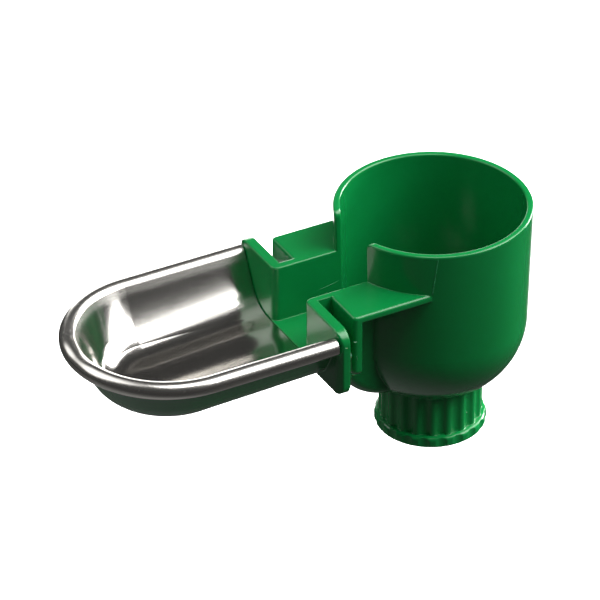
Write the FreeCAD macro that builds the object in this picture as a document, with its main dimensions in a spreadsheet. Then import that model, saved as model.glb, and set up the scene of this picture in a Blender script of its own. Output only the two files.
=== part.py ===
# Rabbit drinker for a cage wall: a moulded cup and cradle, a pressed steel trough liner,
# and a fluted screw cap with its sealing washer under the cup.
#
# Frame: millimetres. The origin is the centre of the cup's mouth, where the bottle goes in.
# +Z points up out of the mouth. The trough points along -X, through the cage wall.

import FreeCAD, Part
import math
import os

import Sketcher

# Driving sizes in millimetres, and angles in degrees. Depths are measured down from the mouth.
SIZES = {
    # Cup that the bottle stands in
    "mouth_radius": 28.4,
    "foot_radius": 27.5,
    "straight_depth": 36.3,
    "bottom_round": 23.9,
    "cup_wall": 2.0,
    "cup_floor": 2.2,
    "rim_round": 0.55,
    # Threaded neck under the cup, and the flat ring round it
    "seat_radius": 15.4,
    "neck_radius": 12.0,
    "neck_bore": 9.6,
    "neck_length": 12.2,
    # Trough: the curled bead, the sloping sides and the floor
    "bead_overhang": 0.1,
    "bead_depth": 17.55,
    "bead_radius": 2.55,
    "curl_end": 125.0,
    "side_lean": 28.0,
    "side_round": 9.5,
    "floor_depth": 30.5,
    "nose_drop": 1.6,
    "liner_sheet": 0.6,
    "liner_gap": 0.05,
    "liner_end_gap": 0.3,
    "cradle_wall": 2.0,
    "nose_centre": 85.0,
    # Flange that stands inside the cage wall
    "flange_face": 46.5,
    "flange_thick": 3.35,
    "flange_half_width": 30.0,
    "flange_top": 12.8,
    "flange_below_floor": 3.1,
    "flange_top_round": 4.5,
    "flange_bottom_round": 3.0,
    "flange_crown_drop": 1.0,
    "flange_crown_margin": 0.2,
    "flange_edge_round": 0.5,
    # Slot for the cage mesh, and the plates and gussets behind it
    "mesh_slot": 4.1,
    "plate_thick": 2.6,
    "plate_half_width": 24.3,
    "plate_below_floor": 1.7,
    "plate_round": 1.6,
    "plate_edge_round": 1.3,
    "gusset_thick": 2.0,
    "gusset_edge_round": 0.9,
    # Channel from the cup to the trough, and the keel below it
    "channel_half_width": 8.83,
    "channel_wall": 2.35,
    "channel_mouth_round": 2.2,
    "notch_round": 2.0,
    "keel_round": 19.2,
    "keel_edge_round": 3.2,
    # Screw cap and washer
    "cap_clearance": 0.3,
    "cap_height": 16.2,
    "cap_radius": 15.0,
    "cap_bore": 12.9,
    "cap_floor": 2.4,
    "bead_height": 3.6,
    "cap_bead_radius": 16.25,
    "bead_round": 1.2,
    "flute_count": 20,
    "flute_depth": 0.75,
    "rib_round": 1.6,
    "rib_root": 0.3,
    "scallop_depth": 0.5,
    "scallop_round": 3.5,
    "washer_radius": 12.7,
    "washer_hole": 8.4,
    "washer_clearance": 0.05,
}

doc = FreeCAD.newDocument("rabbit_drinker")
sheet = doc.addObject("Spreadsheet::Sheet", "Sheet")
for row, (alias, number) in enumerate(SIZES.items(), start=1):
    sheet.set("A%d" % row, alias.replace("_", " "))
    sheet.set("B%d" % row, str(number))
    sheet.setAlias("B%d" % row, alias)
doc.recompute()


class Size:
    """A length that knows its number now and the sheet expression that gives it."""

    def __init__(self, number, text):
        self.number = number
        self.text = text

    def __neg__(self):
        return Size(-self.number, "-(%s)" % self.text)

    def __add__(self, other):
        other = as_size(other)
        return Size(self.number + other.number, "(%s + %s)" % (self.text, other.text))

    def __sub__(self, other):
        other = as_size(other)
        return Size(self.number - other.number, "(%s - %s)" % (self.text, other.text))

    def __mul__(self, other):
        other = as_size(other)
        return Size(self.number * other.number, "(%s * %s)" % (self.text, other.text))

    def __truediv__(self, other):
        other = as_size(other)
        return Size(self.number / other.number, "(%s / %s)" % (self.text, other.text))


def as_size(value):
    if isinstance(value, Size):
        return value
    return Size(float(value), "%g" % value)


def size(alias):
    return Size(float(sheet.get(alias)), "Sheet.%s" % alias)


def sine(angle):
    return Size(math.sin(math.radians(angle.number)), "sin(%s)" % angle.text)


def cosine(angle):
    return Size(math.cos(math.radians(angle.number)), "cos(%s)" % angle.text)


def tangent(angle):
    return Size(math.tan(math.radians(angle.number)), "tan(%s)" % angle.text)


def arctangent(ratio):
    """Angle in degrees."""
    return Size(math.degrees(math.atan(ratio.number)), "(atan(%s) / 1deg)" % ratio.text)


def long_side(first, second):
    """Longest side of a right triangle."""
    number = math.hypot(first.number, second.number)
    return Size(number, "sqrt(%s ^ 2 + %s ^ 2)" % (first.text, second.text))


def other_leg(longest, leg):
    """Third side of a right triangle."""
    number = math.sqrt(longest.number ** 2 - leg.number ** 2)
    return Size(number, "sqrt(%s ^ 2 - %s ^ 2)" % (longest.text, leg.text))


ZERO = as_size(0)

# How close two places are to count as the same place
TOUCH = 0.02


def origin_plane(body, role):
    return [item for item in body.Origin.OriginFeatures if item.Role == role][0]


def new_sketch(body, name, role, offset=None):
    """An empty sketch on one of the body's own planes, moved along the plane's normal."""
    sketch = body.newObject("Sketcher::SketchObject", name)
    sketch.AttachmentSupport = (origin_plane(body, role), "")
    sketch.MapMode = "FlatFace"
    if offset is not None:
        sketch.setExpression("AttachmentOffset.Base.z", offset.text)
    return sketch


def arc_between(start, end, radius, turn, large):
    """Arc of a radius from start to end; turn 1 is anticlockwise, -1 is clockwise."""
    chord = end - start
    height = math.sqrt(max(radius ** 2 - (chord.Length / 2) ** 2, 0))
    side = turn if not large else -turn
    across = FreeCAD.Vector(-chord.y, chord.x, 0).normalize()
    centre = (start + end) / 2 + across * height * side
    first = math.atan2(start.y - centre.y, start.x - centre.x)
    last = math.atan2(end.y - centre.y, end.x - centre.x)
    sweep = (last - first) * turn % (2 * math.pi)
    middle_angle = first + turn * sweep / 2
    middle = centre + FreeCAD.Vector(math.cos(middle_angle), math.sin(middle_angle), 0) * radius
    return Part.Arc(start, middle, end)


class Bend:
    """The stretch from one corner to the next is an arc."""

    def __init__(self, radius, turn, large=False):
        self.radius = radius
        self.turn = turn
        self.large = large


def draw_outline(sketch, *steps):
    """Closed outline of corners (x, y), with a Bend between two corners that an arc joins."""
    corners = [step for step in steps if not isinstance(step, Bend)]
    bends = {}
    count = 0
    for step in steps:
        if isinstance(step, Bend):
            bends[count - 1] = step
        else:
            count += 1
    points = [FreeCAD.Vector(as_size(x).number, as_size(y).number, 0) for x, y in corners]
    lines = []
    for i, start in enumerate(points):
        end = points[(i + 1) % count]
        if i in bends:
            bend = bends[i]
            lines.append(arc_between(start, end, bend.radius.number, bend.turn, bend.large))
        else:
            lines.append(Part.LineSegment(start, end))
    first = sketch.GeometryCount
    sketch.addGeometry(lines, False)
    # An arc's points are numbered anticlockwise, whichever way it was drawn
    starts = {i: 2 if i in bends and bends[i].turn < 0 else 1 for i in range(count)}
    joined = []
    sized = []
    for i, (x, y) in enumerate(corners):
        following = (i + 1) % count
        joined.append(Sketcher.Constraint(
            "Coincident", first + i, 3 - starts[i], first + following, starts[following]))
        sized.append(("DistanceX", (-1, 1, first + i, starts[i]), as_size(x)))
        sized.append(("DistanceY", (-1, 1, first + i, starts[i]), as_size(y)))
    for i, bend in bends.items():
        sized.append(("Radius", (first + i,), bend.radius))
    sketch.addConstraint(joined)
    bind(sketch, sized)


def draw_circle(sketch, centre, radius):
    """Circle with its centre on the horizontal axis."""
    middle = FreeCAD.Vector(centre.number, 0, 0)
    sketch.addGeometry(Part.Circle(middle, FreeCAD.Vector(0, 0, 1), radius.number), False)
    sketch.addConstraint(Sketcher.Constraint("PointOnObject", 0, 3, -1))
    bind(sketch, [("DistanceX", (-1, 1, 0, 3), centre), ("Radius", (0,), radius)])


def bind(sketch, sized):
    """Constraints whose values follow the sheet."""
    indexes = sketch.addConstraint(
        [Sketcher.Constraint(kind, *where, value.number) for kind, where, value in sized])
    for index, (kind, where, value) in zip(indexes, sized):
        if "Sheet." in value.text:
            sketch.setExpression("Constraints[%d]" % index, value.text)


def pad(body, sketch, name, length, both_ways=False, backwards=False):
    feature = body.newObject("PartDesign::Pad", name)
    feature.Profile = sketch
    feature.SideType = "Symmetric" if both_ways else "One side"
    feature.Reversed = backwards
    feature.setExpression("Length", length.text)
    return feature


def pocket(body, sketch, name, length, both_ways=False):
    feature = body.newObject("PartDesign::Pocket", name)
    feature.Profile = sketch
    feature.SideType = "Symmetric" if both_ways else "One side"
    feature.setExpression("Length", length.text)
    return feature


def loft(body, name, first, last, cut=False):
    """Straight blend from one section to another."""
    kind = "PartDesign::SubtractiveLoft" if cut else "PartDesign::AdditiveLoft"
    feature = body.newObject(kind, name)
    feature.Profile = first
    feature.Sections = [last]
    feature.Ruled = True
    return feature


def turned(body, sketch, name, angle=360, cut=False):
    """Solid or cut turned round the sketch's vertical axis."""
    kind = "PartDesign::Groove" if cut else "PartDesign::Revolution"
    feature = body.newObject(kind, name)
    feature.Profile = sketch
    feature.ReferenceAxis = (sketch, ["V_Axis"])
    feature.Angle = angle
    return feature


def edges_where(feature, test):
    """Names of the feature's edges that pass a test."""
    doc.recompute()
    return ["Edge%d" % number for number, edge in enumerate(feature.Shape.Edges, start=1) if test(edge)]


def fillet(body, name, radius, test):
    base = body.Tip
    names = edges_where(base, test)
    feature = body.newObject("PartDesign::Fillet", name)
    feature.Base = (base, names)
    feature.setExpression("Radius", radius.text)
    doc.recompute()
    return feature


def ends(edge):
    first = edge.valueAt(edge.FirstParameter)
    last = edge.valueAt(edge.LastParameter)
    return first, last


def near(first, second):
    return abs(first - second) < TOUCH


# Places that several pieces share
mouth_radius = size("mouth_radius")
cup_wall = size("cup_wall")
seat_radius = size("seat_radius")
bottom_round = size("bottom_round")
straight_depth = size("straight_depth")
foot_radius = size("foot_radius")
draft = arctangent((mouth_radius - foot_radius) / straight_depth)


class CupBottom:
    """Rounded bottom of the cup, tangent to the tapered wall above it."""

    def __init__(self, inset):
        self.round = bottom_round - inset
        self.foot = foot_radius - inset
        self.centre = self.foot - self.round * cosine(draft)
        self.centre_depth = straight_depth - self.round * sine(draft)

    def depth_at(self, radius):
        return self.centre_depth + other_leg(self.round, radius - self.centre)

    def radius_at(self, depth):
        return self.centre + other_leg(self.round, depth - self.centre_depth)


outer_bottom = CupBottom(ZERO)
inner_bottom = CupBottom(cup_wall)
seat_depth = outer_bottom.depth_at(seat_radius)
neck_end = seat_depth + size("neck_length")
flange_face = size("flange_face")
flange_back = flange_face - size("flange_thick")
plate_front = flange_back - size("mesh_slot")
plate_back = plate_front - size("plate_thick")
flange_top = size("flange_top")
floor_depth = size("floor_depth")
nose_floor_depth = floor_depth + size("nose_drop")
flange_bottom = floor_depth + size("flange_below_floor")
plate_bottom = floor_depth + size("plate_below_floor")
flange_half = size("flange_half_width")
bead_half = flange_half + size("bead_overhang") - size("bead_radius")
channel_half = size("channel_half_width")
keel_half = channel_half + size("channel_wall")
nose_centre = size("nose_centre")


class TroughLine:
    """Half of the trough's section, at a distance outside the face that holds the water."""

    def __init__(self, outside, floor_depth):
        lean = size("side_lean")
        bead_depth = size("bead_depth")
        bead_radius = size("bead_radius")
        side_round = size("side_round")
        self.floor = -(floor_depth + outside)
        self.round = side_round + outside
        # Where the sloping side meets the curl, and where the curl's circle has its centre
        self.curl = bead_radius - outside
        self.curl_x = bead_half - self.curl * cosine(lean)
        self.curl_y = self.curl * sine(lean) - bead_depth
        # The side and the floor meet in an arc that is tangent to both
        face_x = bead_half - bead_radius * cosine(lean)
        face_y = bead_radius * sine(lean) - bead_depth
        corner = face_x - (face_y + floor_depth) * tangent(lean)
        reach = side_round * tangent((as_size(90) - lean) / 2)
        self.round_x = corner - reach
        self.side_x = self.round_x + self.round * cosine(lean)
        self.side_y = side_round - floor_depth - self.round * sine(lean)

    def side_at(self, height):
        """Half width of the sloping side at a height."""
        return self.side_x + (height - self.side_y) * tangent(size("side_lean"))


cradle_inside = size("liner_sheet") + size("liner_gap")
cradle_outside = cradle_inside + size("cradle_wall")
cradle_top = -(size("bead_depth") + size("bead_radius") + size("liner_gap"))
cradle_half = TroughLine(cradle_outside, floor_depth).side_at(cradle_top)


def level(edge, axis, value):
    """Both ends of the edge lie at a value along an axis."""
    return all(near(getattr(point, axis), value) for point in ends(edge))


def on_keel_edge(edge):
    at_side = level(edge, "y", keel_half.number) or level(edge, "y", -keel_half.number)
    behind = min(point.x for point in ends(edge)) > -plate_back.number - TOUCH
    low = max(point.z for point in ends(edge)) < -flange_top.number
    return at_side and behind and low and not level(edge, "x", 0)


def on_plate_corner(edge):
    at_side = level(edge, "y", plate_half.number) or level(edge, "y", -plate_half.number)
    return at_side and level(edge, "x", -plate_front.number)


def on_gusset_rim(edge):
    at_side = level(edge, "y", plate_half.number) or level(edge, "y", -plate_half.number)
    return at_side and level(edge, "z", -flange_top.number)


def on_flange_back(edge):
    beside_keel = max(abs(point.y) for point in ends(edge)) > keel_half.number + TOUCH
    return level(edge, "x", -flange_back.number) and beside_keel


def on_flange_front(edge):
    start, end = ends(edge)
    in_front = max(start.x, end.x) < -flange_back.number - TOUCH
    along_top = level(edge, "z", -flange_top.number) and start.y * end.y > 0
    return in_front and along_top and not near(start.y, end.y)


def on_channel_mouth(edge):
    at_side = level(edge, "y", channel_half.number) or level(edge, "y", -channel_half.number)
    return at_side and level(edge, "x", -flange_face.number)


def on_rim(edge):
    return level(edge, "z", 0)


# The drinker's body: cup, channel, flange and cradle in one moulding

body = doc.addObject("PartDesign::Body", "DrinkerBody")
body.Label = "drinker_body"

keel_round = size("keel_round")
keel_centre = plate_back - keel_round
sketch = new_sketch(body, "KeelOutline", "XZ_Plane")
draw_outline(
    sketch,
    (-flange_face, -flange_top),
    (-flange_face, -flange_bottom),
    (-plate_back, -flange_bottom),
    Bend(keel_round, 1),
    (-keel_centre, -flange_bottom - keel_round),
    (ZERO, -flange_bottom - keel_round),
    (ZERO, -flange_top),
)
pad(body, sketch, "Keel", keel_half * 2, both_ways=True)
fillet(body, "KeelEdges", size("keel_edge_round"), on_keel_edge)

sketch = new_sketch(body, "FlangeOutline", "YZ_Plane", -flange_face)
top_round = size("flange_top_round")
low_round = size("flange_bottom_round")
draw_outline(
    sketch,
    (-flange_half, low_round - flange_bottom),
    Bend(low_round, 1),
    (low_round - flange_half, -flange_bottom),
    (flange_half - low_round, -flange_bottom),
    Bend(low_round, 1),
    (flange_half, low_round - flange_bottom),
    (flange_half, -flange_top - top_round),
    Bend(top_round, 1),
    (flange_half - top_round, -flange_top),
    (top_round - flange_half, -flange_top),
    Bend(top_round, 1),
    (-flange_half, -flange_top - top_round),
)
pad(body, sketch, "Flange", size("flange_thick"))

# Outside the cradle, the flange's face curves back towards its ends
crown_start = cradle_half + size("flange_crown_margin")
crown_width = flange_half - crown_start
crown_drop = size("flange_crown_drop")
crown = (crown_width * crown_width + crown_drop * crown_drop) / (crown_drop * 2)
sketch = new_sketch(body, "FlangeCrownOutline", "XY_Plane", -flange_top)
for side, turn in ((1, -1), (-1, 1)):
    draw_outline(
        sketch,
        (-flange_face, crown_start * side),
        Bend(crown, turn),
        (crown_drop - flange_face, flange_half * side),
        (-flange_face, flange_half * side),
    )
pocket(body, sketch, "FlangeCrown", flange_bottom - flange_top)

sketch = new_sketch(body, "PlateOutline", "YZ_Plane", -plate_front)
plate_half = size("plate_half_width")
plate_low = -plate_bottom
plate_round = size("plate_round")
draw_outline(
    sketch,
    (-plate_half, plate_low + plate_round),
    Bend(plate_round, 1),
    (plate_round - plate_half, plate_low),
    (plate_half - plate_round, plate_low),
    Bend(plate_round, 1),
    (plate_half, plate_low + plate_round),
    (plate_half, -flange_top),
    (-plate_half, -flange_top),
)
pad(body, sketch, "Plates", size("plate_thick"))

sketch = new_sketch(body, "GussetOutline", "XY_Plane", -flange_top)
draw_outline(
    sketch,
    (-plate_front, -plate_half),
    (ZERO, -plate_half),
    (ZERO, plate_half),
    (-plate_front, plate_half),
)
pad(body, sketch, "Gussets", size("gusset_thick"), backwards=True)
fillet(body, "PlateCorners", size("plate_edge_round"), on_plate_corner)
fillet(body, "GussetRims", size("gusset_edge_round"), on_gusset_rim)

# The channel opens through the flange, with rounded corners
overcut = as_size(1)
channel_wall = size("channel_wall")
well_front = plate_back - channel_wall
well_round = keel_round - channel_wall
channel_outline = new_sketch(body, "ChannelOutline", "XZ_Plane")
draw_outline(
    channel_outline,
    (-flange_face - overcut, overcut),
    (-flange_face - overcut, -floor_depth),
    (-well_front, -floor_depth),
    (-well_front, -flange_bottom),
    Bend(well_round, 1),
    (-keel_centre, -flange_bottom - well_round),
    (ZERO, -flange_bottom - well_round),
    (ZERO, overcut),
)
pocket(body, channel_outline, "Channel", channel_half * 2, both_ways=True)
fillet(body, "ChannelMouth", size("channel_mouth_round"), on_channel_mouth)
fillet(body, "FlangeFrontEdges", size("flange_edge_round"), on_flange_front)
fillet(body, "FlangeBackEdges", size("flange_edge_round"), on_flange_back)

sketch = new_sketch(body, "CupOutline", "XZ_Plane")
draw_outline(
    sketch,
    (ZERO, ZERO),
    (mouth_radius, ZERO),
    (foot_radius, -straight_depth),
    Bend(bottom_round, -1),
    (seat_radius, -seat_depth),
    (size("neck_radius"), -seat_depth),
    (size("neck_radius"), -neck_end),
    (ZERO, -neck_end),
)
turned(body, sketch, "CupOutside")


def draw_cradle_section(sketch, line, top, mirrored):
    """Cradle section from its floor to its top edge: one half, or both halves."""
    right = [
        (line.round_x, line.floor),
        Bend(line.round, 1),
        (line.side_x, line.side_y),
        (line.side_at(top), top),
    ]
    if not mirrored:
        draw_outline(sketch, (ZERO, top), (ZERO, line.floor), *right)
        return
    left = [
        (-line.side_at(top), top),
        (-line.side_x, line.side_y),
        Bend(line.round, 1),
        (-line.round_x, line.floor),
    ]
    draw_outline(sketch, *left, *right)


def cradle_form(name, outside, top, cut):
    """Sides and floor that deepen from the flange to the nose, then the half round nose."""
    at_flange = new_sketch(body, name + "FlangeSection", "YZ_Plane", -flange_face)
    draw_cradle_section(at_flange, TroughLine(outside, floor_depth), top, True)
    at_nose = new_sketch(body, name + "NoseSection", "YZ_Plane", -nose_centre)
    draw_cradle_section(at_nose, TroughLine(outside, nose_floor_depth), top, True)
    loft(body, name + "Straight", at_flange, at_nose, cut)
    half = new_sketch(body, name + "HalfSection", "YZ_Plane", -nose_centre)
    draw_cradle_section(half, TroughLine(outside, nose_floor_depth), top, False)
    turned(body, half, name + "Nose", angle=180, cut=cut)


cradle_form("Cradle", cradle_outside, cradle_top, False)

# Hollows: the cradle, the notch where the channel runs on into the cup, and the cup with its neck

cradle_form("CradleHollow", cradle_inside, cradle_top + overcut, True)
pocket(body, channel_outline, "Notch", channel_half * 2, both_ways=True)

inner_mouth = mouth_radius - cup_wall
inner_depth = seat_depth - size("cup_floor")
neck_bore = size("neck_bore")
sketch = new_sketch(body, "CupHollowOutline", "XZ_Plane")
draw_outline(
    sketch,
    (ZERO, overcut),
    (ZERO, -neck_end - overcut),
    (neck_bore, -neck_end - overcut),
    (neck_bore, -inner_depth),
    (inner_bottom.radius_at(inner_depth), -inner_depth),
    Bend(inner_bottom.round, 1),
    (inner_bottom.foot, -straight_depth),
    (inner_mouth, ZERO),
    (inner_mouth, overcut),
)
turned(body, sketch, "CupHollow", cut=True)

# The notch's two corners are rounded where it meets the rim
notch_round = size("notch_round")
notch_top = channel_half + notch_round
sketch = new_sketch(body, "NotchCornerOutline", "YZ_Plane")
draw_outline(
    sketch,
    (-channel_half, -notch_round),
    (channel_half, -notch_round),
    Bend(notch_round, -1),
    (notch_top, ZERO),
    (notch_top, overcut),
    (-notch_top, overcut),
    (-notch_top, ZERO),
    Bend(notch_round, -1),
)
pocket(body, sketch, "NotchCorners", mouth_radius + overcut)
fillet(body, "RimEdges", size("rim_round"), on_rim)


# Trough liner: one pressed sheet with its rim curled outwards into a bead

liner = doc.addObject("PartDesign::Body", "TroughLiner")
liner.Label = "trough_liner"

curl_end = size("curl_end")
bead_depth = size("bead_depth")


def curl_tip(line):
    """Where the curl ends, on one face of the sheet."""
    return bead_half + line.curl * cosine(curl_end), -bead_depth - line.curl * sine(curl_end)


def draw_liner_section(sketch, depth, mirrored):
    water_side = TroughLine(ZERO, depth)
    back_side = TroughLine(size("liner_sheet"), depth)
    right_face = [
        (water_side.round_x, water_side.floor),
        Bend(water_side.round, 1),
        (water_side.side_x, water_side.side_y),
        (water_side.curl_x, water_side.curl_y),
        Bend(water_side.curl, -1, large=True),
        curl_tip(water_side),
        curl_tip(back_side),
        Bend(back_side.curl, 1, large=True),
        (back_side.curl_x, back_side.curl_y),
        (back_side.side_x, back_side.side_y),
        Bend(back_side.round, -1),
        (back_side.round_x, back_side.floor),
    ]
    if not mirrored:
        draw_outline(sketch, (ZERO, back_side.floor), (ZERO, water_side.floor), *right_face)
        return
    left_face = [mirror_step(step) for step in reversed(right_face)]
    draw_outline(sketch, *right_face, *left_face)


def mirror_step(step):
    """The same step on the other half, met in the opposite order."""
    if isinstance(step, Bend):
        return step
    return -step[0], step[1]


at_flange = new_sketch(liner, "LinerFlangeSection", "YZ_Plane", -(flange_face + size("liner_end_gap")))
draw_liner_section(at_flange, floor_depth, True)
at_nose = new_sketch(liner, "LinerNoseSection", "YZ_Plane", -nose_centre)
draw_liner_section(at_nose, nose_floor_depth, True)
loft(liner, "LinerStraight", at_flange, at_nose)
half = new_sketch(liner, "LinerHalfSection", "YZ_Plane", -nose_centre)
draw_liner_section(half, nose_floor_depth, False)
turned(liner, half, "LinerNose", angle=180)


# Screw cap: a fluted skirt with a scalloped bead round its closed lower end

cap = doc.addObject("PartDesign::Body", "ScrewCap")
cap.Label = "screw_cap"

cap_top = seat_depth + size("cap_clearance")
cap_bottom = cap_top + size("cap_height")
cap_inside = cap_bottom - size("cap_floor")
bead_top = cap_bottom - size("bead_height")
bead_round = size("bead_round")
cap_bead_radius = size("cap_bead_radius")
flute_floor = size("cap_radius") - size("flute_depth")
core_radius = flute_floor - size("rib_root")
pitch = as_size(360) / size("flute_count")

sketch = new_sketch(cap, "CapOutline", "XZ_Plane")
draw_outline(
    sketch,
    (size("cap_bore"), -cap_top),
    (size("cap_bore"), -cap_inside),
    (ZERO, -cap_inside),
    (ZERO, -cap_bottom),
    (cap_bead_radius - bead_round, -cap_bottom),
    Bend(bead_round, 1),
    (cap_bead_radius, bead_round - cap_bottom),
    (cap_bead_radius, -bead_top - bead_round),
    Bend(bead_round, 1),
    (cap_bead_radius - bead_round, -bead_top),
    (core_radius, -bead_top),
    (core_radius, -cap_top),
)
turned(cap, sketch, "CapTurned")


def repeat_round_cap(feature, sketch):
    pattern = cap.newObject("PartDesign::PolarPattern", feature.Name + "s")
    pattern.Originals = [feature]
    pattern.Axis = (sketch, ["N_Axis"])
    pattern.Angle = 360
    pattern.setExpression("Occurrences", "Sheet.flute_count")
    cap.Tip = pattern


def turned_to(radius, angle):
    return radius * cosine(angle), radius * sine(angle)


# One rib, from the floor of one flute to the floor of the next, with a round crest between
rib_round = size("rib_round")
half_pitch = pitch / 2
crest_centre = size("cap_radius") - rib_round
near_side = crest_centre * cosine(half_pitch)
squares = crest_centre * crest_centre + flute_floor * flute_floor - rib_round * rib_round
flute_round = (squares - flute_floor * near_side * 2) / ((rib_round - flute_floor + near_side) * 2)
share = rib_round / (rib_round + flute_round)
flute_centre = flute_floor + flute_round
touch_x = crest_centre + (flute_centre * cosine(half_pitch) - crest_centre) * share
touch_y = flute_centre * sine(half_pitch) * share
touch_radius = long_side(touch_x, touch_y)
touch_angle = arctangent(touch_y / touch_x)
sketch = new_sketch(cap, "RibOutline", "XY_Plane", -bead_top)
draw_outline(
    sketch,
    (flute_floor, ZERO),
    Bend(flute_round, -1),
    turned_to(touch_radius, half_pitch - touch_angle),
    Bend(rib_round, 1),
    turned_to(touch_radius, half_pitch + touch_angle),
    Bend(flute_round, -1),
    turned_to(flute_floor, pitch),
    turned_to(core_radius - size("rib_root"), pitch),
    (core_radius - size("rib_root"), ZERO),
)
repeat_round_cap(pad(cap, sketch, "Rib", bead_top - cap_top), sketch)

# One scallop in the bead, below each flute
scallop_round = size("scallop_round")
sketch = new_sketch(cap, "ScallopCircle", "XY_Plane", -bead_top)
draw_circle(sketch, cap_bead_radius + scallop_round - size("scallop_depth"), scallop_round)
repeat_round_cap(pocket(cap, sketch, "Scallop", size("bead_height")), sketch)


# Sealing washer between the neck and the cap's floor

washer = doc.addObject("PartDesign::Body", "CapWasher")
washer.Label = "cap_washer"
washer_gap = size("washer_clearance")
sketch = new_sketch(washer, "WasherOutline", "XZ_Plane")
draw_outline(
    sketch,
    (size("washer_hole"), -neck_end - washer_gap),
    (size("washer_hole"), washer_gap - cap_inside),
    (size("washer_radius"), washer_gap - cap_inside),
    (size("washer_radius"), -neck_end - washer_gap),
)
turned(washer, sketch, "WasherTurned")


# Checks, then one file for each sub-part

doc.recompute()
for item in doc.Objects:
    if "Invalid" in item.State or "Error" in item.State:
        raise RuntimeError("%s did not build: %s" % (item.Name, item.State))

os.makedirs("parts", exist_ok=True)
for piece in (body, liner, cap, washer):
    shape = piece.Shape
    if shape.isNull() or not shape.isValid() or len(shape.Solids) != 1:
        raise RuntimeError("%s is not one valid solid" % piece.Label)
    shape.exportStep("parts/%s.step" % piece.Label)
    box = shape.BoundBox
    print("%s: %.1f cubic mm, x %.2f to %.2f, y %.2f to %.2f, z %.2f to %.2f" % (
        piece.Label, shape.Volume, box.XMin, box.XMax, box.YMin, box.YMax, box.ZMin, box.ZMax))
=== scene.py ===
# %% [markdown]
# # Dressing a rabbit drinker
#
# The object is a small drinker that hangs on the wire wall of a rabbit's cage. A round cup
# behind the wall takes an upturned bottle. Water runs from the cup through a notch and a
# channel into a steel-lined trough in front of the wall. A fluted cap closes the drain under
# the cup.
#
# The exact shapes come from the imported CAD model. This lesson gives them their materials, adds
# what is too fine for the CAD model, and sets up the light and the camera.

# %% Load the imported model
import math

import bmesh
import bpy
from mathutils import Matrix, Vector


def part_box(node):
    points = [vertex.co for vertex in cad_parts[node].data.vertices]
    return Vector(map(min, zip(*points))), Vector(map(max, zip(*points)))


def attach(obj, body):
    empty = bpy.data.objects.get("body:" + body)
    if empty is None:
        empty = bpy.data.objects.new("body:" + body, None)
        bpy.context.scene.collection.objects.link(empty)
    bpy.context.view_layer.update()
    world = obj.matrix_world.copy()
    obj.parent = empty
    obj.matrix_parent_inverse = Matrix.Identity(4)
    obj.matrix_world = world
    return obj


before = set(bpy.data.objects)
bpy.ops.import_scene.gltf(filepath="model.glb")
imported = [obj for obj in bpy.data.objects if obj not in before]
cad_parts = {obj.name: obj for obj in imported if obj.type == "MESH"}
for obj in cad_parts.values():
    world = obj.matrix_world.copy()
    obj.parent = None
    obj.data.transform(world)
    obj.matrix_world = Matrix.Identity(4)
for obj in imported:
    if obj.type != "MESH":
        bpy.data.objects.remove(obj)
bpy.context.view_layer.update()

MM = 0.001
for name in sorted(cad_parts):
    low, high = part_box(name)
    print("%s is %.1f x %.1f x %.1f mm" % (name, *((high - low) / MM)))

# %% [markdown]
# Colours are easiest to pick as the hex values that an image editor shows. Those are sRGB
# numbers, made for a screen. A shader needs linear light, so one function converts them.

# %% Screen colour to linear light
def linear(hex_colour):
    """An sRGB hex colour as the linear colour that a shader wants."""
    channels = [int(hex_colour[i:i + 2], 16) / 255 for i in (1, 3, 5)]
    light = [c / 12.92 if c <= 0.04045 else ((c + 0.055) / 1.055) ** 2.4 for c in channels]
    return light + [1.0]


print("mid grey #808080 is", round(linear("#808080")[0], 3), "in linear light")

# %% [markdown]
# A node tree could be built with one helper for each kind of node. One helper for all kinds is
# shorter to read: it adds the node, sets what is named, and plugs in what feeds it.

# %% A function that adds one node
def add_node(tree, kind, settings=None, feeds=None):
    """Add a node. Settings are properties or socket values; feeds are sockets that plug in."""
    node = tree.nodes.new(kind)
    for key, value in (settings or {}).items():
        if isinstance(key, str) and hasattr(node, key):
            setattr(node, key, value)
        else:
            node.inputs[key].default_value = value
    for key, output in (feeds or {}).items():
        tree.links.new(output, node.inputs[key])
    return node


def new_material(name):
    """An empty material with its output node, ready for a shader."""
    material = bpy.data.materials.new(name)
    material.use_nodes = True
    tree = material.node_tree
    tree.nodes.clear()
    output = add_node(tree, "ShaderNodeOutputMaterial")
    return material, tree, output


# %% [markdown]
# The drinker's cup, channel, flange and cradle are one injection moulding, and so is the cap.
# A plastic of this kind is polypropylene: waxy, tough and cheap. A polished mould gives it a
# gloss, but polypropylene shrinks as it cools, so its gloss is soft and its flat faces are a
# little wavy. That waviness is what makes its reflections look like plastic and not like paint.
#
# Two sizes of pattern carry it: a slow wave as wide as a fingertip, from shrinkage, and a fine
# grain from the mould's polish. Each is worked out from its size in millimetres. The real grain
# is finer still, and is drawn as coarse as it needs to be to show. A third pattern, the widest,
# shifts the green a little where the pigment flowed unevenly. Some light sinks into the plastic
# and comes out nearby, green light farthest, so its shadows stay green. A bevel node turns the
# shading a little round each edge, because no edge of a moulding comes out sharp.
#
# Three greens are made with it: that of the drinker; a lighter one for the cap, which is painted
# light, a copy of the drinker's green made lighter for light that reaches the cap from below; and a
# pale one for plastic that has crept into the joint of a mould and is thin there, which on the
# channel's far wall also draws a painted reflection.

# %% Moulded polypropylene
def noise_scale(size_mm):
    """Scale of a noise texture on object coordinates in metres, for features of a size."""
    return 1 / (size_mm * MM)


POLYPROPYLENE_IOR = 1.49
SHRINK_WAVE_MM = 14
SHRINK_WAVE_HEIGHT_MM = 0.10
MOULD_GRAIN_MM = 0.9
MOULD_GRAIN_HEIGHT_MM = 0.003
PIGMENT_FLOW_MM = 22
EDGE_SOFTNESS_MM = 0.5
GLOW_DEPTH_MM = 1.2


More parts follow.
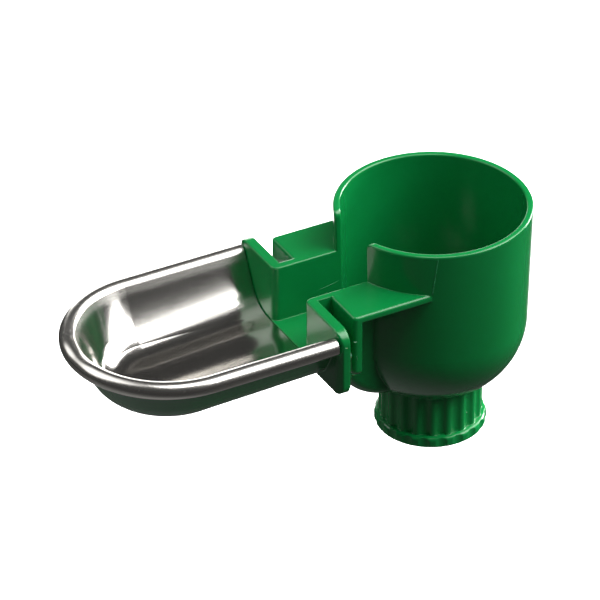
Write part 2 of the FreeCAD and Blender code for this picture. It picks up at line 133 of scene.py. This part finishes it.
def moulded_polypropylene(name, colour, deep_colour):
    material, tree, output = new_material(name)
    place = add_node(tree, "ShaderNodeTexCoord").outputs["Object"]
    wave = add_node(tree, "ShaderNodeTexNoise",
                    {"Scale": noise_scale(SHRINK_WAVE_MM), "Detail": 1.0}, {"Vector": place})
    grain = add_node(tree, "ShaderNodeTexNoise",
                     {"Scale": noise_scale(MOULD_GRAIN_MM), "Detail": 3.0}, {"Vector": place})
    flow = add_node(tree, "ShaderNodeTexNoise",
                    {"Scale": noise_scale(PIGMENT_FLOW_MM), "Detail": 2.0, "Distortion": 0.6},
                    {"Vector": place})
    tint = add_node(tree, "ShaderNodeMixRGB",
                    {"Color1": linear(colour), "Color2": linear(deep_colour)},
                    {"Fac": flow.outputs["Fac"]})
    gloss = add_node(tree, "ShaderNodeMapRange", {"To Min": 0.15, "To Max": 0.23},
                     {"Value": grain.outputs["Fac"]})
    edges = add_node(tree, "ShaderNodeBevel", {"samples": 8, "Radius": EDGE_SOFTNESS_MM * MM})
    waviness = add_node(tree, "ShaderNodeBump",
                        {"Strength": 0.3, "Distance": SHRINK_WAVE_HEIGHT_MM * MM},
                        {"Height": wave.outputs["Fac"], "Normal": edges.outputs["Normal"]})
    skin = add_node(tree, "ShaderNodeBump",
                    {"Strength": 0.2, "Distance": MOULD_GRAIN_HEIGHT_MM * MM},
                    {"Height": grain.outputs["Fac"], "Normal": waviness.outputs["Normal"]})
    shader = add_node(tree, "ShaderNodeBsdfPrincipled",
                      {"IOR": POLYPROPYLENE_IOR, "Subsurface Weight": 0.12,
                       "Subsurface Scale": GLOW_DEPTH_MM * MM,
                       "Subsurface Radius": (0.25, 1.0, 0.35)},
                      {"Base Color": tint.outputs["Color"], "Roughness": gloss.outputs["Result"],
                       "Normal": skin.outputs["Normal"]})
    tree.links.new(shader.outputs["BSDF"], output.inputs["Surface"])
    return material


# A pale green for fine lines of thin plastic at mould joints. On the channel's far wall the same green
# draws a painted reflection.
THIN_AND_REFLECTION_GREEN = "#2C9A5A"
green_plastic = moulded_polypropylene("Green moulded polypropylene", "#0A7A3B", "#087034")
# The cap's green is painted lighter than the drinker's: painted light, for light that reaches the cap
# from below.
cap_plastic_painted_lighter = moulded_polypropylene("Lighter green moulded polypropylene", "#119549", "#0E8A43")
thin_plastic_and_painted_reflection = moulded_polypropylene(
    "Green polypropylene thinned at a mould joint", "#3FA468", THIN_AND_REFLECTION_GREEN)
for plastic in (green_plastic, cap_plastic_painted_lighter, thin_plastic_and_painted_reflection):
    print("made", plastic.name)

# %% [markdown]
# The liner is pressed from stainless steel sheet and then polished. Pressing stretches the
# sheet, which roughens its grain a little, and polishing leaves fine lines that run along the
# trough. So its reflections are bright but soft, and break into specks at their edges. Both
# patterns are finer on real steel, and are drawn about half a millimetre wide so that they show.
# The rim is curled after that and isn't polished again, so the bead is duller than the trough.
#
# A pressed wall is never quite flat. It springs back after the press opens and stays a little
# hollow, so each wall mirrors the dark room at its top and the softbox lower down. A height that
# grows with the square of the depth below the rim tilts the reflections in just that way. The
# rounded nose is stiffer. Its spring dies away there and turns a little the other way. The floor
# springs too, into a shallow dish along the trough, and mirrors bands of light and dark. All of
# this is a bump that bends the reflections only, because the CAD mesh stays as it is.

# %% Pressed and polished stainless steel
POLISH_LINE_MM = 0.5
POLISH_LINE_HEIGHT_MM = 0.012
# Squeezed along X, the noise gives lines that run some 17 times their width along the trough
POLISH_SQUEEZE = (0.06, 1.0, 1.0)
SHEET_GRAIN_MM = 0.45
SHEET_GRAIN_HEIGHT_MM = 0.015
# The top of the hollow and the foot of the bead are heights on Z, and the nose lies along X
HOLLOW_TOP_MM = -17.5
HOLLOW_DEEP_MM = 13.0
HOLLOW_SWELL_MM = 1.75
NOSE_FROM_MM = -108.0
NOSE_TO_MM = -86.0
NOSE_SPRING = -0.2
BEAD_FOOT_MM = -19.0
BEAD_RAMP_MM = 1.5
BEAD_ADDED_ROUGHNESS = 0.12
DISH_HALF_WIDTH_MM = 8.0
DISH_DEPTH_MM = 0.55


def polished_stainless(name):
    material, tree, output = new_material(name)
    place = add_node(tree, "ShaderNodeTexCoord").outputs["Object"]
    stretched = add_node(tree, "ShaderNodeMapping", {"Scale": POLISH_SQUEEZE}, {"Vector": place})
    lines = add_node(tree, "ShaderNodeTexNoise",
                     {"Scale": noise_scale(POLISH_LINE_MM), "Detail": 2.0},
                     {"Vector": stretched.outputs["Vector"]})
    grain = add_node(tree, "ShaderNodeTexNoise",
                     {"Scale": noise_scale(SHEET_GRAIN_MM), "Detail": 4.0}, {"Vector": place})
    softness = add_node(tree, "ShaderNodeMapRange", {"To Min": 0.11, "To Max": 0.17},
                        {"Value": lines.outputs["Fac"]})
    axes = add_node(tree, "ShaderNodeSeparateXYZ", {}, {"Vector": place})
    depth = add_node(tree, "ShaderNodeMapRange",
                     {"From Min": HOLLOW_TOP_MM * MM,
                      "From Max": (HOLLOW_TOP_MM - HOLLOW_DEEP_MM) * MM}, {"Value": axes.outputs["Z"]})
    square = add_node(tree, "ShaderNodeMath", {"operation": "POWER", 1: 2.0},
                      {0: depth.outputs["Result"]})
    spring = add_node(tree, "ShaderNodeMapRange",
                      {"interpolation_type": "SMOOTHSTEP", "From Min": NOSE_FROM_MM * MM,
                       "From Max": NOSE_TO_MM * MM, "To Min": NOSE_SPRING},
                      {"Value": axes.outputs["X"]})
    sprung = add_node(tree, "ShaderNodeMath", {"operation": "MULTIPLY"},
                      {0: square.outputs["Value"], 1: spring.outputs["Result"]})
    hollow = add_node(tree, "ShaderNodeBump", {"Strength": 1.0, "Distance": HOLLOW_SWELL_MM * MM},
                      {"Height": sprung.outputs["Value"]})
    curled = add_node(tree, "ShaderNodeMapRange",
                      {"From Min": BEAD_FOOT_MM * MM, "From Max": (BEAD_FOOT_MM + BEAD_RAMP_MM) * MM,
                       "To Max": BEAD_ADDED_ROUGHNESS}, {"Value": axes.outputs["Z"]})
    dullness = add_node(tree, "ShaderNodeMath", {"operation": "ADD"},
                        {0: softness.outputs["Result"], 1: curled.outputs["Result"]})
    off_middle = add_node(tree, "ShaderNodeMath", {"operation": "ABSOLUTE"}, {0: axes.outputs["Y"]})
    dished = add_node(tree, "ShaderNodeMapRange",
                      {"interpolation_type": "SMOOTHSTEP", "From Max": DISH_HALF_WIDTH_MM * MM},
                      {"Value": off_middle.outputs["Value"]})
    dish = add_node(tree, "ShaderNodeBump", {"Strength": 1.0, "Distance": DISH_DEPTH_MM * MM},
                    {"Height": dished.outputs["Result"], "Normal": hollow.outputs["Normal"]})
    polished = add_node(tree, "ShaderNodeBump",
                        {"Strength": 0.3, "Distance": POLISH_LINE_HEIGHT_MM * MM},
                        {"Height": lines.outputs["Fac"], "Normal": dish.outputs["Normal"]})
    skin = add_node(tree, "ShaderNodeBump",
                    {"Strength": 0.45, "Distance": SHEET_GRAIN_HEIGHT_MM * MM},
                    {"Height": grain.outputs["Fac"], "Normal": polished.outputs["Normal"]})
    shader = add_node(tree, "ShaderNodeBsdfPrincipled",
                      {"Metallic": 1.0, "Base Color": linear("#D2CFC9")},
                      {"Roughness": dullness.outputs["Value"], "Normal": skin.outputs["Normal"]})
    tree.links.new(shader.outputs["BSDF"], output.inputs["Surface"])
    return material


steel = polished_stainless("Pressed polished stainless steel")
print("made", steel.name)

# %% [markdown]
# The washer is cut from nitrile rubber sheet. It is nearly black, and it scatters light so
# widely that it hardly shines.

# %% Nitrile rubber
RUBBER_GRAIN_MM = 0.6
RUBBER_GRAIN_HEIGHT_MM = 0.02


def nitrile_rubber(name):
    material, tree, output = new_material(name)
    place = add_node(tree, "ShaderNodeTexCoord").outputs["Object"]
    grain = add_node(tree, "ShaderNodeTexNoise",
                     {"Scale": noise_scale(RUBBER_GRAIN_MM), "Detail": 3.0}, {"Vector": place})
    tint = add_node(tree, "ShaderNodeMixRGB",
                    {"Color1": linear("#1B1B1C"), "Color2": linear("#262627")},
                    {"Fac": grain.outputs["Fac"]})
    skin = add_node(tree, "ShaderNodeBump",
                    {"Strength": 0.4, "Distance": RUBBER_GRAIN_HEIGHT_MM * MM},
                    {"Height": grain.outputs["Fac"]})
    shader = add_node(tree, "ShaderNodeBsdfPrincipled", {"IOR": 1.52, "Roughness": 0.75},
                      {"Base Color": tint.outputs["Color"], "Normal": skin.outputs["Normal"]})
    tree.links.new(shader.outputs["BSDF"], output.inputs["Surface"])
    return material


rubber = nitrile_rubber("Nitrile rubber sheet")
print("made", rubber.name)

# %% [markdown]
# Each CAD piece keeps its own mesh, because its shape is exact. Only its material changes.

# %% Put the materials on the CAD pieces
finishes = {"drinker_body": green_plastic, "trough_liner": steel,
            "screw_cap": cap_plastic_painted_lighter, "cap_washer": rubber}
for name, material in finishes.items():
    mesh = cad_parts[name].data
    mesh.materials.clear()
    mesh.materials.append(material)
    print("%s wears %s, with %d triangles" % (name, material.name, len(mesh.polygons)))

# %% [markdown]
# A mould leaves marks where its parts meet. Molten plastic creeps into the joint and sets there as a
# line finer than a hair. On this cup it runs down from the rim to the gusset. A second pale ridge,
# along the channel's far wall, is painted reflection: a light line where the wall's lower part starts
# to mirror light, drawn in the same pale green. They are drawn 0.36 and 0.25 mm wide, as coarse as
# they need to be to show, and a tenth of a millimetre high or less. One function builds every ridge in
# this lesson: it sets a crest over a line of points and two feet sunk in the face below, and lets the
# ridge run out to almost nothing at both ends.

# %% A function that lays a fine ridge on a face
SUNK_MM = 0.03
END_SHARE = 0.05


def fine_ridge(name, points, outwards, width, height, material, body, run_out=0.25):
    """A ridge along points in mm. Outwards gives the face's direction at each point.

    Run_out is the share of the length at each end over which the ridge grows to full size.
    """
    shape = bmesh.new()
    rows = []
    last = len(points) - 1
    for i, (point, outward) in enumerate(zip(points, outwards)):
        point, outward = Vector(point), Vector(outward).normalized()
        along = (Vector(points[min(i + 1, last)]) - Vector(points[max(i - 1, 0)])).normalized()
        side = along.cross(outward).normalized() * width / 2
        nearest_end = min(i / last, 1 - i / last)
        share = min(1.0, nearest_end / run_out + END_SHARE)
        foot = point - outward * SUNK_MM
        corners = [foot - side * share, point + outward * height * share, foot + side * share]
        rows.append([shape.verts.new(corner * MM) for corner in corners])
    for first, second in zip(rows, rows[1:]):
        for j in range(3):
            k = (j + 1) % 3
            shape.faces.new((first[j], first[k], second[k], second[j]))
    shape.faces.new(rows[0][::-1])
    shape.faces.new(rows[-1])
    bmesh.ops.recalc_face_normals(shape, faces=shape.faces)
    mesh = bpy.data.meshes.new(name)
    shape.to_mesh(mesh)
    shape.free()
    mesh.materials.append(material)
    piece = bpy.data.objects.new(name, mesh)
    bpy.context.scene.collection.objects.link(piece)
    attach(piece, body)


# %% A mould line on the cup, and a painted reflection in the channel
CUP_MOUTH_MM = 28.4
CUP_FOOT_MM = 27.5
CUP_SIDE_MM = 36.3
CHANNEL_WALL_MM = 8.83
LINE_STEPS = 24


def evenly(start, end, steps):
    """Places from start to end in even steps."""
    return [[a + (b - a) * i / steps for a, b in zip(start, end)] for i in range(steps + 1)]


def on_cup(azimuth, z):
    """A point on the cup's outside in mm, and the way it faces. Azimuth 0 is along X."""
    turn = math.radians(azimuth)
    facing = Vector((math.cos(turn), math.sin(turn), 0))
    radius = CUP_MOUTH_MM + (CUP_MOUTH_MM - CUP_FOOT_MM) * z / CUP_SIDE_MM
    return facing * radius + Vector((0, 0, z)), facing


down_the_cup = [on_cup(*place) for place in evenly((-117.0, -0.5), (-120.0, -12.7), LINE_STEPS)]
points, outwards = zip(*down_the_cup)
fine_ridge("cup_parting_line", points, outwards, width=0.36, height=0.1,
           material=thin_plastic_and_painted_reflection, body="drinker", run_out=0.06)

TOWARDS_NEAR_SIDE = (0, -1, 0)
# On the channel's far wall a pale ridge is painted reflection: a light line where the wall's lower
# part starts to mirror light.
points = evenly((-25.0, CHANNEL_WALL_MM, -23.0), (-32.6, CHANNEL_WALL_MM, -24.4), LINE_STEPS)
fine_ridge("channel_wall_painted_reflection", points, [TOWARDS_NEAR_SIDE] * len(points),
           width=0.25, height=0.06, material=thin_plastic_and_painted_reflection, body="drinker")
print("laid the mould lines")

# %% [markdown]
# Here and there the plastic was squeezed out further and tore when the mould opened. These scraps
# of flash are so thin that they turn pale, because air and stretched plastic scatter the light.
# They sit on the rim, at the near end of the flange and the plate behind it, and on one rib of
# the cap. Their edges are ragged, so each scrap gets a few uneven points of its own. Below the
# scraps, a straight line of thin plastic runs down the flange's back edge.

# %% Torn flash
TEAR_MM = 0.3
FLASH_GLOW_DEPTH_MM = 0.5


def torn_flash(name, colour):
    material, tree, output = new_material(name)
    place = add_node(tree, "ShaderNodeTexCoord").outputs["Object"]
    tear = add_node(tree, "ShaderNodeTexNoise", {"Scale": noise_scale(TEAR_MM), "Detail": 3.0},
                    {"Vector": place})
    tint = add_node(tree, "ShaderNodeMixRGB",
                    {"Color1": linear(colour), "Color2": linear(THIN_AND_REFLECTION_GREEN)},
                    {"Fac": tear.outputs["Fac"]})
    shader = add_node(tree, "ShaderNodeBsdfPrincipled",
                      {"IOR": POLYPROPYLENE_IOR, "Roughness": 0.4, "Subsurface Weight": 0.3,
                       "Subsurface Scale": FLASH_GLOW_DEPTH_MM * MM},
                      {"Base Color": tint.outputs["Color"]})
    tree.links.new(shader.outputs["BSDF"], output.inputs["Surface"])
    return material


pale_flash = torn_flash("Torn thin polypropylene flash", "#9BD0AC")
print("made", pale_flash.name)

# %% Scraps of flash
OFF_THE_BACK_EDGE = (0.7, -0.7, 0)
rim_places = ((-55.4, -0.3), (-54.0, -0.36), (-53.0, -0.3), (-51.6, -0.42))
# For each scrap: its points, the way it faces, its width and height, and the body it rides on
scraps = {
    "rim_flash": (
        [on_cup(*place)[0] for place in rim_places],
        (0.5, -0.7, 0.6), 0.32, 0.14, "drinker"),
    "flange_end_flash": (
        [(-45.2, -30.0, -17.0), (-44.8, -30.0, -17.35),
         (-44.4, -30.0, -17.3), (-44.15, -30.0, -17.7)],
        TOWARDS_NEAR_SIDE, 0.16, 0.08, "drinker"),
    "flange_back_flash": (
        [(-43.2, -29.85, -19.4), (-43.15, -29.9, -20.1),
         (-43.18, -29.88, -20.7), (-43.15, -29.85, -21.4)],
        OFF_THE_BACK_EDGE, 0.35, 0.22, "drinker"),
    "plate_flash": (
        [(-39.0, -23.75, -20.6), (-38.6, -24.05, -20.75),
         (-38.3, -24.2, -20.7), (-38.0, -24.28, -20.6)],
        (-0.5, -0.85, 0), 0.16, 0.1, "drinker"),
    "plate_edge_flash": (
        [(-37.95, -24.28, -25.0), (-38.05, -24.27, -25.8),
         (-37.95, -24.28, -26.4), (-38.0, -24.28, -27.2)],
        (-0.2, -1, 0), 0.16, 0.08, "drinker"),
    "plate_foot_flash": (
        [(-39.0, -22.9, -31.9), (-38.7, -23.3, -31.95),
         (-38.3, -23.6, -31.8), (-37.9, -23.8, -31.6)],
        (-0.4, -0.6, -0.7), 0.5, 0.25, "drinker"),
    "cap_flash": (
        [(3.9, -13.75, -64.3), (4.1, -13.7, -64.45),
         (4.25, -13.62, -64.6), (4.4, -13.55, -64.7)],
        (0.3, -1, 0), 0.45, 0.15, "cap"),
}
for name, (points, facing, width, height, rides_on) in scraps.items():
    fine_ridge(name, points, [facing] * len(points), width, height, pale_flash, rides_on)

print("laid", len(scraps), "scraps of flash")

EDGE_LINE_STEPS = 14
points = evenly((-43.16, -29.86, -21.0), (-43.16, -29.86, -33.0), EDGE_LINE_STEPS)
fine_ridge("flange_edge_line", points, [OFF_THE_BACK_EDGE] * len(points),
           width=0.16, height=0.06, material=thin_plastic_and_painted_reflection, body="drinker")
print("laid a line of thin plastic down the flange's back edge")

# %% [markdown]
# The cap screws onto a thread on the neck under the cup. The thread shows only when the cap is
# turned down. A thread like this is moulded as one ridge that winds down the neck. It fades out
# at both ends, so that the cap catches it and slips off it smoothly. The cap drops 3 mm with each
# turn, so that is also the distance from one ridge to the next.

# %% Thread on the neck
NECK_MM = 12.0
PITCH_MM = 3.0
THREAD_TOP_MM = -59.5
THREAD_TURNS = 2.6
POINTS_PER_TURN = 64

points, outwards = [], []
for i in range(int(THREAD_TURNS * POINTS_PER_TURN) + 1):
    turn = 2 * math.pi * i / POINTS_PER_TURN
    facing = Vector((math.cos(turn), math.sin(turn), 0))
    height = THREAD_TOP_MM - PITCH_MM * i / POINTS_PER_TURN
    points.append(facing * NECK_MM + Vector((0, 0, height)))
    outwards.append(facing)
fine_ridge("neck_thread", points, outwards, width=1.7, height=0.6,
           material=green_plastic, body="drinker")
print("wound the thread %.1f times round the neck" % THREAD_TURNS)

# %% [markdown]
# The picture was taken with a long lens from a metre and a half away, which keeps the trough's
# sides almost parallel. The camera stands on the drinker's near side, turned a third of the way
# towards the trough's nose, and looks down at it. Its place is worked out from the direction it
# looks in and from where the centre of the cup's mouth should stand in the frame.

# %% Camera
FRAME_PIXELS = 600
FOCAL_PIXELS = 5500
SENSOR_MM = 36
LOOK_AZIMUTH = math.radians(-28.715)
LOOK_ELEVATION = math.radians(33.104)
MOUTH_DISTANCE = 1550.9 * MM
MOUTH_IN_FRAME = (433.25, 203.30)

right = Vector((math.cos(LOOK_AZIMUTH), math.sin(LOOK_AZIMUTH), 0))
back = Vector((math.sin(LOOK_AZIMUTH) * math.cos(LOOK_ELEVATION),
               -math.cos(LOOK_AZIMUTH) * math.cos(LOOK_ELEVATION), math.sin(LOOK_ELEVATION)))
up = back.cross(right)
per_pixel = MOUTH_DISTANCE / FOCAL_PIXELS
across = (MOUTH_IN_FRAME[0] - FRAME_PIXELS / 2) * per_pixel
down = (MOUTH_IN_FRAME[1] - FRAME_PIXELS / 2) * per_pixel
camera_data = bpy.data.cameras.new("Camera")
camera_data.sensor_width = SENSOR_MM
camera_data.lens = FOCAL_PIXELS / FRAME_PIXELS * SENSOR_MM
camera = bpy.data.objects.new("Camera", camera_data)
bpy.context.scene.collection.objects.link(camera)
facing = Matrix((right, up, back)).transposed().to_4x4()
place = back * MOUTH_DISTANCE - right * across + up * down
camera.matrix_world = Matrix.Translation(place) @ facing
bpy.context.scene.camera = camera
print("camera at", [round(c, 3) for c in camera.matrix_world.translation])

# %% [markdown]
# The drinker hangs high on a cage, so the floor lies well below it. A plain pale floor is
# enough. So far down, it throws hardly any light back up at the green plastic, and the
# drinker's shadow falls on it outside the picture.

# %% Floor
FLOOR_HEIGHT = -900 * MM
FLOOR_HALF_WIDTH = 4.0

floor_mesh = bpy.data.meshes.new("floor")
corners = [(x * FLOOR_HALF_WIDTH, y * FLOOR_HALF_WIDTH, FLOOR_HEIGHT)
           for x, y in ((-1, -1), (1, -1), (1, 1), (-1, 1))]
floor_mesh.from_pydata(corners, [], [(0, 1, 2, 3)])
floor = bpy.data.objects.new("floor", floor_mesh)
bpy.context.scene.collection.objects.link(floor)
floor_paint, tree, output = new_material("Matt white studio paper")
paper = add_node(tree, "ShaderNodeBsdfPrincipled",
                 {"Base Color": linear("#F4F4F3"), "Roughness": 0.9, "Specular IOR Level": 0.2})
tree.links.new(paper.outputs["BSDF"], output.inputs["Surface"])
floor_mesh.materials.append(floor_paint)
print("floor lies at %.0f mm" % (FLOOR_HEIGHT / MM))

# %% [markdown]
# The light is that of a small product studio. One wide softbox stands high on the right. It makes
# the round cup fall from bright on its right to dark in front, and it is also the white streak
# that the steel mirrors. Its lower edge is well above the drinker, so the top of the trough's far
# wall mirrors the dim room below it. A small low softbox lights the cup's right edge, and three
# weak ones fill in the left, the top and the back. All of them stand close, so that little of
# their light reaches the floor, and the floor doesn't grey the underside of the plastic.
#
# The last lamp hangs over the floor behind and shines straight down. A studio does the same: the
# background has a lamp of its own that doesn't reach the object.

# %% Studio light
def soft_lamp(name, place, aim, width, height, power, spread):
    """A softbox: a rectangle in metres that shines from its place towards its aim."""
    lamp = bpy.data.lights.new(name, "AREA")
    lamp.shape = "RECTANGLE"
    lamp.size = width
    lamp.size_y = height
    lamp.energy = power
    lamp.spread = math.radians(spread)
    holder = bpy.data.objects.new(name, lamp)
    bpy.context.scene.collection.objects.link(holder)
    holder.location = place
    holder.rotation_euler = (Vector(aim) - Vector(place)).to_track_quat("-Z", "Y").to_euler()
    holder.visible_camera = False


def towards(azimuth, elevation):
    """Unit vector to a direction, with azimuth 0 in front and counted to the right."""
    turn, rise = math.radians(azimuth), math.radians(elevation)
    level = math.cos(rise)
    return Vector((math.sin(turn) * level, -math.cos(turn) * level, math.sin(rise)))


LIT_PLACE = Vector((-35, 0, -30)) * MM
LAMP_DISTANCE = 0.45
# Azimuth and elevation in degrees, width and height in metres, power in watts, spread in degrees
softboxes = {
    "Key softbox right": (67, 44, 0.58, 0.38, 1.46, 90),
    "Edge softbox right": (100, 12, 0.18, 0.18, 0.31, 60),
    "Fill softbox left": (-125, 45, 0.41, 0.41, 0.33, 90),
    "Fill softbox above": (5, 76, 0.27, 0.22, 0.18, 70),
    "Fill softbox behind": (160, 4, 0.30, 0.22, 0.2, 90),
}
for name, (azimuth, elevation, width, height, power, spread) in softboxes.items():
    place = LIT_PLACE + towards(azimuth, elevation) * LAMP_DISTANCE
    soft_lamp(name, place, LIT_PLACE, width, height, power, spread)

FAR_FLOOR = Vector((0.66, 1.21, FLOOR_HEIGHT))
OVER_FAR_FLOOR = FAR_FLOOR + Vector((0, 0, 0.5))
soft_lamp("Background lamp", OVER_FAR_FLOOR, FAR_FLOOR, width=0.6, height=0.6, power=5.0, spread=60)

ROOM_STRENGTH = 0.05
world = bpy.data.worlds.new("Studio room")
bpy.context.scene.world = world
world.use_nodes = True
tree = world.node_tree
tree.nodes.clear()
output = add_node(tree, "ShaderNodeOutputWorld")
room = add_node(tree, "ShaderNodeBackground",
                {"Color": linear("#FFFFFF"), "Strength": ROOM_STRENGTH})
tree.links.new(room.outputs["Background"], output.inputs["Surface"])
bpy.context.scene.view_settings.view_transform = "Standard"
